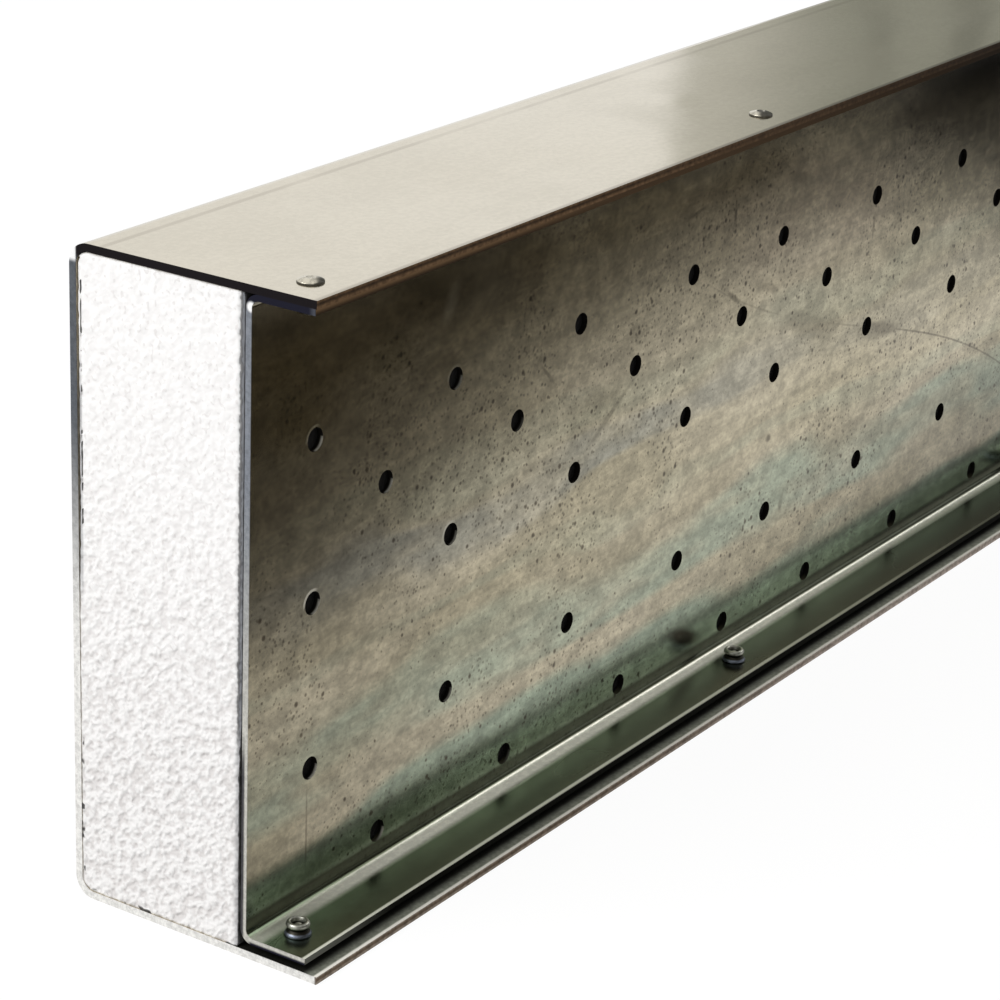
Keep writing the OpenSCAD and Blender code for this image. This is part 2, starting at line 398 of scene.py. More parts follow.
def outer_zinc(zinc):
    """Bright zinc with a roll crease, painted shade and highlights, and sheared edges that differ down
    the end in painted light and shade.
    """
    coat = Finish("outer_zinc", zinc.bright)
    clouds = coat.noise(26, 2, 0.6)
    drawn = coat.noise(1, 2, 0.65, (40, 300, 300))
    grain = coat.noise(480, 2, 0.8)
    mottle = coat.plus(
        coat.rise(clouds, 0.35, 0.68, 0, 0.4), coat.rise(grain, 0.34, 0.66, 0, 0.65),
        coat.rise(drawn, 0.35, 0.7, 0, 0.18),
    )
    coat.paint(zinc.dull, mottle)
    outer_top(coat, zinc, clouds)
    strip_matt = bottom_strip(coat, zinc, grain)
    ends = end_mask(coat)
    coat.paint(outer_cut(coat, zinc, grain), ends)
    lip = outer_lips(coat, zinc, grain)

    cut_matt = coat.rise(coat.z, CUT_TOP_Z + 0.0015, CUT_TOP_Z - 0.0015, 1, 0.6)
    matt = coat.most(strip_matt, lip, coat.both(ends, cut_matt))
    roughness = coat.plus(coat.vary(clouds, -0.03, 0.04), zinc.roughness)
    roughness = coat.scaled(matt, 0.55, roughness)
    waves = coat.noise(9, 1, 0.4, (1, 1.6, 1.6))
    return coat.surface(roughness, coat.bump(waves, 0.2, WAVE_DEPTH), coat.less(1, matt))


def outer_top(coat, zinc, clouds):
    """Roll crease, browned front edge and painted shade on the back fold of the top flange."""
    back, top = OUTER_HIGH.y, OUTER_HIGH.z
    on_top = coat.over(coat.z, top - HAIR)
    width = zinc.crease_width
    crease = coat.strip(coat.y, back - zinc.crease_inset, width * 0.3, width * 0.7)
    strength_share = coat.rise(clouds, 0.3, 0.62, 0.4, 1)
    coat.paint(zinc.crease, on_top, crease, strength_share)
    coat.paint(
        zinc.lip, on_top, coat.rise(coat.y, TOP_LIP_Y + 0.0022, TOP_LIP_Y + 0.0006),
        coat.rise(coat.x, -0.5, -0.3, 0.42, 0.8),
    )
    # Painted shade on the back fold, strongest over the middle of the length.
    fold = coat.both(
        coat.rise(coat.y, back - 0.0068, back - 0.005),
        coat.rise(coat.z, top - 0.0045, top - 0.002),
        coat.rise(coat.x, -0.4, -0.15, 0.15, 0.75), coat.rise(coat.x, 0.15, 0, 0.25, 1),
    )
    coat.tone(coat.less(1, fold))


def bottom_strip(coat, zinc, grain):
    """Dull bottom flange beyond the inner one, with painted shadow by the lap and under the inner flange,
    and a painted highlight line along its front edge. Returns a mask of how matt it is.
    """
    front, lap, width = OUTER_LOW.y, INNER_LOW.y, zinc.edge_width
    beyond = coat.both(
        coat.over(coat.facing_z, FACING), coat.under(coat.z, 0.01),
        coat.under(coat.y, OUTER_HIGH.y - 0.06),
    )
    # Painted highlight along the front edge.
    line = coat.rise(coat.y, front + width * 1.6, front + width * 0.8)
    # Painted shadow by the lap, fading out across the strip.
    strip = coat.mix(coat.rise(coat.y, lap + 0.0011, lap - 0.0024), zinc.shadow, zinc.strip)
    strip = coat.shade(strip, coat.vary(grain, 0.8, 1.2))
    coat.paint(coat.mix(line, strip, zinc.edge), beyond)
    return coat.both(coat.most(coat.scaled(line, 0.36, 0.6), coat.over(coat.y, lap)), beyond)


def outer_cut(coat, zinc, grain):
    """Colour of the sheared ends, in painted light and shade: dark by the top flange, grey in the middle,
    pale below, with a painted glint on the top back corner.
    """
    cut = coat.mix(coat.rise(coat.z, 0.165, 0.08), zinc.cut_middle, zinc.cut_foot)
    cut = coat.shade(cut, coat.vary(grain, 0.8, 1.1))
    cut = coat.mix(coat.rise(coat.z, CUT_TOP_Z - 0.0015, CUT_TOP_Z + 0.0015), cut, zinc.cut_top)
    # Painted glint on the rounded top back corner.
    corner_glint = coat.rise(coat.y, OUTER_HIGH.y - 0.0029, OUTER_HIGH.y - 0.0021)
    corner_glint = coat.both(corner_glint, coat.rise(coat.z, CUT_TOP_Z - 0.0018, CUT_TOP_Z), 0.92)
    cut = coat.mix(corner_glint, cut, WHITE)
    tip = coat.rise(coat.y, OUTER_LOW.y + 0.0009, OUTER_LOW.y + 0.0002)
    return coat.mix(coat.both(tip, 0.9), cut, zinc.lip)


def outer_lips(coat, zinc, grain):
    """Sheared long edges of both flanges, with a band of painted shade on the bottom lip and bands of
    painted light and shade on the top lip, which is darker farther along. Returns their mask.
    """
    top = OUTER_HIGH.z
    lip = lip_mask(coat, TOP_LIP_Y)
    low_lip = coat.mix(coat.rise(coat.x, -0.5, -0.18), zinc.lip_near, zinc.lip_far)
    # Painted shade: a dark band on the upper part of the bottom lip, fainter farther along.
    torn = coat.strip(coat.z, 0.0015, 0.0003, 0.0006)
    torn = coat.both(torn, coat.rise(coat.x, -0.5, -0.2, 0.75, 0.3))
    low_lip = coat.mix(torn, low_lip, zinc.lip)
    # Painted highlight and shade: bands across the top lip, fading farther along.
    lip_light_bands = coat.most(
        coat.rise(coat.z, top - 0.0011, top - 0.0021, -0.5, 0.6),
        coat.rise(coat.z, top - 0.001, top - 0.0003, -0.5, 0.3),
    )
    lip_light_bands = coat.both(lip_light_bands, coat.rise(coat.x, -0.46, -0.36, 1, 0.35))
    top_lip = coat.shade(zinc.lip, coat.rise(coat.x, -0.48, -0.1, 1, 0.2), coat.plus(lip_light_bands, 1))
    lips = coat.mix(coat.over(coat.z, HALF_WAY), low_lip, top_lip)
    coat.paint(coat.shade(lips, coat.vary(grain, 0.7, 1.3)), lip)
    return lip


def inner_zinc(zinc):
    """Weathered zinc: lengthwise bands, flecks and marks, painted shade, a painted highlight along the
    bottom fold and sheared edges.
    """
    coat = Finish("inner_zinc", zinc.bright)
    clouds = coat.noise(17, 2, 0.65, (0.5, 1, 1.6))
    drawn = coat.noise(1, 2, 0.7, (30, 30, 400), (0, 0.03, 0))
    grain = coat.noise(600, 2, 0.7, (0.75, 1, 1))
    coarse = coat.noise(160, 2, 0.65, (0.7, 1, 1), (0, 0.15, 0))
    coat.paint(zinc.dull, coat.plus(coat.rise(clouds, 0.36, 0.66, 0, 0.55), 0.2))
    bands(coat, zinc)
    flecks(coat, zinc)
    marks(coat, zinc, coarse)
    coat.tone(
        coat.rise(coarse, 0.32, 0.68, 0.83, 1.17), coat.vary(drawn, 0.92, 1.08),
        coat.vary(grain, 0.87, 1.13),
    )
    walls = hole_edges(coat, zinc)
    on_flange = inner_flange(coat, zinc, clouds, coarse)
    # Painted shade and grime: a dark band on the web just above the bottom fold.
    coat.paint(zinc.grime_and_shade, coat.rise(coat.z, FLANGE_Z + 0.0074, FLANGE_Z + 0.005, 0, 0.9))
    matt_fold = fold_highlight(coat, zinc, grain)
    edge_shade, rolled = flange_edge(coat, zinc)
    lip = inner_lips(coat, zinc)
    ends = end_mask(coat)
    cut, dark_cut = inner_cut(coat, zinc, grain)
    coat.paint(cut, ends)

    cut_matt = coat.both(ends, coat.scaled(dark_cut, 0.4, 0.6))
    matt = coat.most(matt_fold, walls, lip, edge_shade, coat.both(rolled, 0.75), cut_matt)
    roughness = coat.plus(coat.vary(clouds, -0.03, 0.05), zinc.roughness)
    roughness = coat.scaled(matt, 0.5, roughness)
    roughness = coat.scaled(on_flange, 0.07, roughness)
    waves = coat.noise(7, 1, 0.4, (1, 1.5, 1.5))
    return coat.surface(roughness, coat.bump(waves, 0.25, WAVE_DEPTH), coat.less(1, matt))


def bands(coat, zinc):
    """Lengthwise bands of the bath and warm clouds above them; along the foot a green band, partly a
    painted reflection; and painted shade low down, toward the right, under the top flange and toward the
    near end.
    """
    sway = coat.noise(1, 1, 0.5, (9, 9, 40))
    height = coat.plus(coat.z, coat.vary(sway, -0.006, 0.006))
    patches = coat.noise(1, 1, 0.6, (22, 22, 90))
    patchy = coat.rise(patches, 0.3, 0.65, 0.45, 1)
    near = coat.rise(coat.x, -0.22, -0.4, 0.25, 1)
    for tone, strength, middle, half, soft, *where in (
        (zinc.green, 0.75, 0.057, 0.007, 0.009),
        (zinc.green, 0.2, 0.0835, 0.002, 0.004),
        (zinc.blue, 0.6, 0.11, 0.005, 0.006, near),
        (zinc.green, 0.2, 0.127, 0.003, 0.006),
    ):
        band = coat.strip(height, middle, half, soft)
        coat.paint(tone, band, patchy, *where, strength)
    coat.paint(zinc.brown, coat.smear(-0.27, 0.165, 0.12, 0.034, -6, 0.4), patchy)
    # Green band along the foot: partly a stain, partly a painted reflection, with paler painted light
    # below it.
    coat.paint(zinc.foot, coat.rise(height, 0.034, 0.0265, 0, 0.85))
    patchy = coat.rise(patches, 0.3, 0.6, 0.75, 1)
    coat.paint(zinc.foot_low, coat.rise(coat.z, 0.0245, 0.0195), patchy)
    # Painted shade: darker low down, low toward the right, in the top right corner, in a patch under the
    # top flange and in a band right under it.
    dull = coat.rise(coat.z, 0.082, 0.06, 1, 0.86)
    right = coat.both(coat.rise(coat.x, -0.32, -0.1, 0, -0.25), coat.rise(coat.z, 0.085, 0.05))
    corner = coat.both(coat.rise(coat.x, -0.25, -0.14, 0, -0.85), coat.rise(coat.z, 0.177, 0.195))
    near_top = coat.smear(-0.495, 0.19, 0.08, 0.019, 0, 0.5, 0)
    dull = coat.less(coat.plus(dull, right, corner), near_top)
    coat.tone(coat.both(dull, coat.rise(coat.z, 0.192, 0.2, 1, 0.62)))
    # Painted shade toward the near end.
    coat.paint(zinc.smudge_and_shade, coat.rise(coat.x, -0.42, -0.6, 0, 0.34))


def flecks(coat, zinc):
    """Small round pits and dirt, scattered by chance and thicker in places."""
    crowd = coat.rise(coat.noise(24, 1, 0.6), 0.35, 0.65, 0.55, 1.5)
    for scale, radius, strength in ((460, 0.2, 0.55), (330, 0.17, 0.65), (160, 0.13, 0.85)):
        dots = coat.add("ShaderNodeTexVoronoi", {"Vector": coat.object, "Scale": scale})
        away = coat.math("DIVIDE", dots.outputs["Distance"], crowd)
        coat.paint(zinc.specks, coat.rise(away, radius * 1.05, radius * 0.4, 0, strength))


def inner_flange(coat, zinc, clouds, coarse):
    """Green zinc of the bottom flange, paler by the near end. Returns its mask."""
    foot = INNER_LOW.z
    on_flange = coat.rise(coat.z, foot + 0.0043, foot + 0.0026)
    flange = coat.shade(
        zinc.flange, coat.rise(clouds, 0.36, 0.64, 1.1, 0.75), coat.vary(coarse, 0.85, 1.15),
        coat.rise(coat.x, -0.38, -0.48, 1, 1.75), coat.rise(coat.x, -0.53, -0.6, 1, 3.2),
    )
    coat.paint(flange, on_flange)
    return on_flange


def fold_highlight(coat, zinc, grain):
    """Painted highlight along the bottom fold, as pale matt zinc. Returns a mask of its matt part beside
    the fold.
    """
    narrow = coat.rise(coat.x, -0.5, -0.15, 0, 0.0022)
    along_flange = coat.rise(coat.less(coat.y, narrow), WEB_Y - 0.0082, WEB_Y - 0.0047)
    # How strong the painted highlight is along the length.
    strength_share = coat.both(coat.rise(coat.x, -0.6, -0.55, 0.6, 1), coat.rise(coat.x, -0.15, -0.32, 0.7, 1))
    height = coat.plus(coat.z, coat.rise(coat.x, -0.6, -0.47, 0.0002, 0))
    rubbed_and_highlight = coat.both(along_flange, coat.rise(height, FLANGE_Z + 0.0007, FLANGE_Z), strength_share)
    bare = coat.shade(zinc.rubbed_and_highlight, coat.rise(coat.y, WEB_Y - 0.0017, WEB_Y - 0.0007, 1, 0.78))
    coat.paint(bare, rubbed_and_highlight, coat.rise(grain, 0.3, 0.62, 1, 0.85))
    return coat.both(rubbed_and_highlight, coat.rise(coat.y, WEB_Y - 0.0012, WEB_Y - 0.0022))


def flange_edge(coat, zinc):
    """Front edge of the bottom flange, with painted shade on its last rim and a painted highlight line.
    Returns masks of its dark rim and its bright line.
    """
    front, width = INNER_LOW.y, zinc.edge_width
    flat = coat.under(coat.z, FLANGE_Z + 0.0006)
    # Painted shade on the last rim of the flange's top, farther along.
    edge_shade = coat.rise(coat.y, front + 0.0006, front + 0.0002)
    edge_shade = coat.both(flat, edge_shade, coat.rise(coat.x, -0.57, -0.42))
    coat.paint(zinc.lip_low, edge_shade)
    # Painted highlight where the edge would roll over, creeping inward farther along.
    inward = coat.rise(coat.x, -0.6, -0.42, front + width * 0.3, front + width * 0.75)
    rolled = coat.strip(coat.less(coat.y, inward), 0, width * 0.25, width * 0.5)
    rolled = coat.both(rolled, flat, coat.rise(coat.x, -0.12, -0.42, 0.1, 0.95))
    coat.paint(zinc.edge, rolled)
    return edge_shade, rolled


def inner_lips(coat, zinc):
    """Sheared long edges of both flanges: painted light and shade bands on the top lip, darker farther
    along, and a bottom lip in near-black painted shade, lighter at the near end. Returns their mask.
    """
    top = INNER_HIGH.z
    lip = lip_mask(coat, INNER_LOW.y)
    # Painted light and shade bands across the top lip, by the near end.
    lit = coat.rise(coat.z, top - 0.0019, top - 0.0001, -0.55, 1.6)
    lit = coat.both(lit, coat.rise(coat.x, -0.43, -0.52))
    top_lip = coat.shade(zinc.lip, coat.rise(coat.x, -0.42, -0.1, 1.25, 0.2), coat.plus(lit, 1))
    low_lip = coat.mix(coat.rise(coat.x, -0.55, -0.6, 0, 0.15), zinc.lip_low, zinc.edge)
    coat.paint(coat.mix(coat.over(coat.z, HALF_WAY), low_lip, top_lip), lip)
    return lip


def hole_edges(coat, zinc):
    """Painted shade on the walls of the punched holes, painted light low on their far side, and painted
    highlights on the rims by the near end.
    Returns the mask of the walls."""
    holes_z, holes_reach = 0.1088, 0.0966
    walls = coat.both(
        coat.under(coat.math("ABSOLUTE", coat.facing_y), 0.5),
        coat.strip(coat.z, holes_z, holes_reach, 0.001),
    )
    # Painted light low on the far wall, near the front face, by the near end.
    lit = coat.both(
        coat.rise(coat.less(coat.facing_z, coat.facing_x), 0.85, 1.3),
        coat.rise(coat.y, WEB_Y + 0.0012, WEB_Y + 0.0002), coat.rise(coat.x, -0.42, -0.56, 0, 0.75),
    )
    coat.paint(coat.mix(lit, zinc.bore, zinc.rim), walls)
    first_x, pitch, row_z, row_step, rim_r = -0.569, 0.0725, 0.1075, 0.0525, 0.0041
    dx = coat.math("WRAP", coat.less(coat.x, first_x), pitch / 2, -pitch / 2)
    upper = coat.over(coat.z, row_z + row_step / 2)
    dz = coat.less(coat.z, coat.scaled(upper, row_step, row_z))
    away = coat.math("SQRT", coat.scaled(dx, dx, coat.both(dz, dz)))
    upper_left = coat.scaled(dx, -0.55, coat.both(dz, 0.8))
    # Painted highlights: crescents on the upper left of the rims by the near end.
    coat.paint(
        zinc.rim, coat.strip(away, rim_r, 0.0003, 0.0005), coat.rise(upper_left, 0.001, 0.0034),
        coat.rise(coat.x, -0.45, -0.57, 0, 0.9),
    )
    return walls


def inner_cut(coat, zinc, grain):
    """Colour of the sheared ends, paler toward the foot in painted light, and a mask of their dark parts,
    which are painted shade.
    """
    top = CUT_TOP_Z - 0.0015
    cut = coat.mix(coat.rise(coat.z, 0.16, 0.065), zinc.cut_web, zinc.cut_foot)
    cut = coat.shade(cut, coat.vary(grain, 0.82, 1.12))
    # Painted shade beside the foam low down, low on the bottom flange and by the top flange.
    foam_side = coat.both(
        coat.rise(coat.y, WEB_Y + 0.0006, WEB_Y + 0.0014),
        coat.rise(coat.z, FOOT_Z, FOOT_Z - 0.016, 0, 0.9),
    )
    below = coat.both(
        coat.rise(coat.z, FLANGE_Z - 0.0008, FLANGE_Z - 0.0016),
        coat.rise(coat.y, WEB_Y - 0.0005, WEB_Y - 0.002),
    )
    high = coat.rise(coat.z, top - 0.002, top)
    tip = coat.rise(coat.y, WEB_Y - 0.02, WEB_Y - 0.0223, 0, 0.25)
    flange = coat.mix(tip, zinc.cut_top, zinc.cut_web)
    dark = coat.most(foam_side, below, high)
    cut = coat.mix(dark, cut, coat.mix(high, zinc.cut_top, flange))
    # Painted glint at the top fold of the near end.
    corner = (-END_X, WEB_Y + 0.0001, top - 0.0001)
    away = coat.add("ShaderNodeVectorMath", (coat.object, corner), operation="DISTANCE")
    glint = coat.rise(away.outputs["Value"], 0.0021, 0.0009)
    return coat.mix(glint, cut, WHITE), dark


def marks(coat, zinc, coarse):
    """A long scratch whose height is a cubic of the way along, and smears and scribed lines,
    each with its middle, half sizes, tilt and strength."""
    along = coat.plus(coat.x, 0.2)
    bend = coat.scaled(along, -5.5755, -0.2685)
    for term in (-0.28836, 0.10295):
        bend = coat.scaled(along, bend, term)
    scratch = coat.both(
        coat.strip(coat.z, bend, 0.0001, 0.0006),
        coat.rise(coat.x, -0.35, -0.33), coat.rise(coat.x, -0.06, -0.08),
        coat.rise(coat.x, -0.25, -0.17, 0.25, 0.55),
    )
    stains = coat.most(*(coat.smear(*stain) for stain in (
        (-0.5703, 0.0305, 0.021, 0.0007, 90, 0.5),
        (-0.265, 0.1215, 0.036, 0.006, -19, 0.42),
        (-0.205, 0.104, 0.026, 0.0045, -13, 0.6),
        (-0.4035, 0.122, 0.02, 0.0017, 32, 0.5),
        (-0.2757, 0.0523, 0.0055, 0.002, 80, 0.6),
        (-0.3247, 0.1765, 0.0075, 0.0013, 90, 0.75),
        (-0.2165, 0.148, 0.007, 0.0014, 86, 0.5),
        (-0.297, 0.1425, 0.012, 0.0026, -18, 0.35),
        (-0.278, 0.1795, 0.012, 0.0035, -12, 0.45),
        (-0.289, 0.082, 0.0026, 0.0023, 0, 0.7),
        (-0.443, 0.1472, 0.0095, 0.001, -44, 0.5),
        (-0.3525, 0.1822, 0.0095, 0.0011, 10, 0.5),
        (-0.3225, 0.1448, 0.009, 0.0016, -32, 0.6),
    )))
    stains = coat.both(stains, coat.rise(coarse, 0.4, 0.56, 0.45, 1))
    coat.paint(zinc.smudge_and_shade, coat.most(stains, scratch))
    coat.paint(zinc.specks, coat.smear(-0.343, 0.0195, 0.017, 0.005, -21, 0.95))
    coat.paint(zinc.rubbed_and_highlight, coat.smear(-0.5, 0.186, 0.01, 0.005, 60, 0.3, 0))


# ------------------------ pieces


def made_of(name, shape, material):
    """Turns a bmesh into an object at the origin with one material."""
    mesh = bpy.data.meshes.new(name)
    shape.to_mesh(mesh)
    shape.free()
    mesh.materials.append(material)
    item = bpy.data.objects.new(name, mesh)
    bpy.context.scene.collection.objects.link(item)
    return item


def finished_piece(name, shape, material, replaced):
    """A piece that rides on the part in place of a CAD node."""
    piece = made_of(name, shape, material)
    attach(piece, ROOT)
    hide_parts(replaced)
    return piece


def give(node_name, material):
    """Puts a finish on every slot of a CAD node."""
    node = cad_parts[node_name]
    node.data.materials.clear()
    node.data.materials.append(material)


def foam_finish(foam):
    """White sawn beads on the ends, with painted shade in their hollows and toward the bottom, and a dark
    coat of painted shade along the sides.
    """
    coat = Finish("bead_foam", foam.white)
    beads = coat.noise(1 / foam.bead, 1, 0.5, (1, 1, 1.35), (0.8, 0, 0), (0, 0, 0), "TEXTURE")
    fine = coat.noise(700, 0, 0.5)
    low = coat.rise(coat.z, 0.2, 0.03)
    depth = coat.scaled(low, 0.7, 0.25)
    # Painted shade in the hollows between beads, deeper low down, and toward the bottom.
    coat.paint(foam.shade, coat.rise(beads, 0.54, 0.36), depth, 0.6)
    coat.paint(foam.shade, low, 0.12)
    coat.paint(foam.shade, coat.rise(fine, 0.66, 0.74, 0, 0.4))
    foam_rim(coat, foam)
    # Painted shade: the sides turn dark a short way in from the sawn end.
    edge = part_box("foam_core")[1].x - 0.002
    sawn = coat.rise(coat.math("ABSOLUTE", coat.x), edge - 0.0004, edge + 0.0004)
    cut_side = coat.rise(coat.facing_y, -0.3, -0.6)
    sawn = coat.both(sawn, coat.scaled(cut_side, -0.85, 1))
    coat.color = coat.mix(sawn, foam.side, coat.color)
    height = coat.both(coat.scaled(fine, 0.15, beads), depth)
    return coat.surface(0.85, coat.bump(height, 0.7, foam.bead * 1.3), specular=0.25)


def foam_rim(coat, foam):
    """Painted shade on the rim beside the perforated web and grey at the back, and broken dark lines of
    painted shadow low down.
    """
    tears = coat.noise(420, 1, 0.6)
    torn_y = coat.plus(coat.y, coat.vary(tears, -0.0003, 0.0003))
    web = INNER_HIGH.y
    upper = coat.rise(coat.z, FOOT_Z - FOOT_FADE, FOOT_Z)
    # Painted shade fading in toward the perforated web, a grey band and a dark painted shadow line at its
    # edge.
    coat.paint(foam.rim_shade, coat.rise(torn_y, web + 0.0038, web + 0.0014, 0, 0.62))
    coat.paint(foam.rim_shade, coat.rise(torn_y, web + 0.0018, web + 0.0013), upper)
    coat.paint(foam.side, coat.strip(torn_y, web + 0.0018, 0.0002, 0.0005), upper, 0.65)

    low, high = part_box("foam_core")
    at_back = coat.rise(coat.y, high.y - 0.0008, high.y + 0.0002)
    coat.paint(foam.rim_shade, at_back, coat.strip(coat.z, 0.14, 0.025, 0.02), 0.5)
    at_back = coat.both(
        coat.rise(coat.y, high.y - 0.0001, high.y + 0.0004), coat.rise(coat.z, 0.09, 0.08)
    )
    at_foot = coat.both(
        coat.rise(coat.z, low.z + 0.0016, low.z + 0.0006), coat.strip(coat.y, 0.024, 0.012, 0.012)
    )
    # Breaks the painted shadow lines at the back and foot into dashes.
    torn = coat.rise(coat.noise(210, 1, 0.6), 0.6, 0.66)
    coat.paint(foam.side, coat.most(at_back, at_foot), torn, 0.9)


def foam_core(foam):
    """One half is shaped from a fine grid on the sawn end, drawn along, and then mirrored."""
    low, high = foam_box(foam)
    width, height = high.y - low.y, high.z - low.z
    across, up = round(width / foam.grid), round(height / foam.grid)
    shape = bmesh.new()
    bmesh.ops.create_grid(shape, x_segments=across, y_segments=up, size=0.5)
    bmesh.ops.scale(shape, vec=(width, height, 1), verts=shape.verts)
    for vert in shape.verts:
        radius = foam.corner if vert.co.x < 0 else foam.web_corner
        vert.co = round_corner(vert.co, width / 2, height / 2, radius)
    turn = Matrix(((0, 0, -1, 0), (-1, 0, 0, 0), (0, 1, 0, 0), (0, 0, 0, 1)))
    place = Matrix.Translation((low.x, (low.y + high.y) / 2, (low.z + high.z) / 2))
    bmesh.ops.transform(shape, matrix=place @ turn, verts=shape.verts)

    rim = [edge for edge in shape.edges if edge.is_boundary]
    steps = (0.0005, 0.0009, 0.0012, 0.002, 0.004, 0.02)
    for step in (*steps, -low.x - sum(steps)):
        drawn = bmesh.ops.extrude_edge_only(shape, edges=rim)["geom"]
        rim = [item for item in drawn if isinstance(item, bmesh.types.BMEdge) and item.is_boundary]
        moved = [item for item in drawn if isinstance(item, bmesh.types.BMVert)]
        bmesh.ops.translate(shape, vec=(step, 0, 0), verts=moved)
    saw_end(foam, shape, low, high)
    for vert in {corner for edge in rim for corner in edge.verts}:
        vert.co.x = 0
    bmesh.ops.mirror(shape, geom=shape.verts[:] + shape.edges[:] + shape.faces[:],
                     axis="X", merge_dist=0.00001)
    bmesh.ops.recalc_face_normals(shape, faces=shape.faces)
    for face in shape.faces:
        face.smooth = True
    return shape


def foam_box(foam):
    """Box of the core: pressed against the back web, up to the top flange and to the inner web."""
    low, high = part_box("foam_core")
    sheet = low.z - CAD_BOX[0].z
    low.y = INNER_HIGH.y + foam.web_gap
    high.y = CAD_BOX[1].y - sheet - 0.00003
    high.z = OUTER_HIGH.z - sheet - 0.0003
    low.x, high.x = foam.inset - END_X, END_X - foam.inset
    return low, high


def round_corner(point, half_width, half_height, radius):
    """Slides a point of a rectangle's corner onto the same place in a rounded corner."""
    core_x, core_y = half_width - radius, half_height - radius
    dx, dy = abs(point.x) - core_x, abs(point.y) - core_y
    if dx <= 0 or dy <= 0:
        return point
    scale = max(dx, dy) / math.hypot(dx, dy)
    x, y = core_x + dx * scale, core_y + dy * scale
    return Vector((math.copysign(x, point.x), math.copysign(y, point.y), point.z))


def saw_end(foam, shape, low, high):
    """Roughens the sawn end, frays its edges and frees it from the two webs."""
    reach, rim_width, tears_per_metre = 0.008, 0.0012, 330
    web_reach, back_reach, back_foot, back_fade = 0.01, 0.0008, 0.1, 0.03
    for vert in shape.verts:
        place = vert.co.copy()
        along = place.x - low.x
        if along > reach:
            continue
        rough = noise.noise(place / foam.bead) * 0.5 + 0.5
        tear = max(0, noise.noise(place * tears_per_metre))
        end_share = max(0, 1 - along / reach)
        from_rim = min(place.y - low.y, place.z - low.z, high.z - place.z)
        frayed = (0.3 + tear) * max(0, 1 - from_rim / rim_width)
        vert.co.x += end_share * (foam.relief * rough + foam.ragged * frayed)
        beside_web = max(0, 1 - (place.y - low.y) / web_reach)
        foot = min(1, max(0, (FOOT_Z - place.z) / FOOT_FADE))
        cut_back = foam.foot_gap * foot * (1 + 0.5 * tear) + 0.0002 * tear
        vert.co.y += end_share ** 0.5 * beside_web * cut_back
        if high.y - place.y < back_reach:
            upper = min(1, max(0, (place.z - back_foot) / back_fade))
            vert.co.y -= end_share * foam.back_gap * (upper * (1.4 + tear) + 0.15 * tear)


def rivet_finish(rivet):
    """Plated steel with painted shade: heads dark at the rim and on one side, tails dark in the waist,
    top rivets dark below their flanges, and a painted bluish reflection at the foot of a tail.
    """
    coat = Finish("rivet_steel", rivet.steel)
    grain = coat.noise(600, 3, 0.65)
    on_top = coat.over(coat.z, HALF_WAY)
    coat.paint(rivet.head, on_top)
    coat.tone(coat.rise(grain, 0.35, 0.7, 1.1, 0.6))
    above = coat.less(coat.z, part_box(BOTTOM_RIVETS[0])[1].z - CAD_TAIL_H)
    # Painted reflection: a bluish tone at the foot of a tail.
    coat.paint(rivet.foot, coat.rise(above, -0.0001, 0.0001), coat.rise(above, 0.0017, 0.0012))
    # Painted shade in the waist of a tail.
    coat.paint(rivet.grime_and_shade, coat.strip(above, 0.0022, 0.0007, 0.0004))
    in_sheet = INNER_HIGH.z - 0.0015
    # Painted shade on the top rivets below their flanges.
    coat.paint(
        rivet.grime_and_shade, coat.rise(coat.z, in_sheet - 0.021, in_sheet - 0.011),
        coat.rise(coat.z, in_sheet + 0.0002, in_sheet - 0.0002),
    )
    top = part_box(TOP_RIVETS[0])[1].z - rivet.head_h
    # Painted shade round the rim of a head and on its shaded side, more on the farther rivets.
    rim = coat.both(coat.over(coat.z, top - 0.0001), coat.rise(coat.z, top + 0.0006, top + 0.0003))
    turned_dark = coat.rise(coat.x, -0.56, -0.4, 0.03, 0.34)
    shaded_side = coat.scaled(coat.facing_y, -0.83, coat.both(coat.facing_x, 0.56))
    shaded_side = coat.both(on_top, coat.rise(coat.plus(shaded_side, turned_dark), 0.12, 0.36))
    dirt = coat.both(coat.most(rim, shaded_side), 0.9)
    coat.paint(coat.shade(rivet.grime_and_shade, HALF_GREY), dirt)
    roughness = coat.vary(grain, rivet.roughness - 0.05, rivet.roughness + 0.08)
    roughness = coat.scaled(on_top, -0.14, roughness)
    return coat.surface(roughness, coat.bump(grain, 0.2, 0.0001), coat.less(1, dirt))


def turned(outline, steps):
    """Spins a section, given as radius and height, into a closed solid."""
    shape = bmesh.new()
    verts = [shape.verts.new((radius, 0, height)) for radius, height in outline]
    edges = [shape.edges.new(pair) for pair in zip(verts, verts[1:])]
    bmesh.ops.spin(shape, geom=verts + edges, cent=(0, 0, 0), axis=(0, 0, 1),
                   angle=math.tau, steps=steps, use_merge=True)
    bmesh.ops.remove_doubles(shape, verts=shape.verts, dist=0.000002)
    bmesh.ops.recalc_face_normals(shape, faces=shape.faces)
    return shape


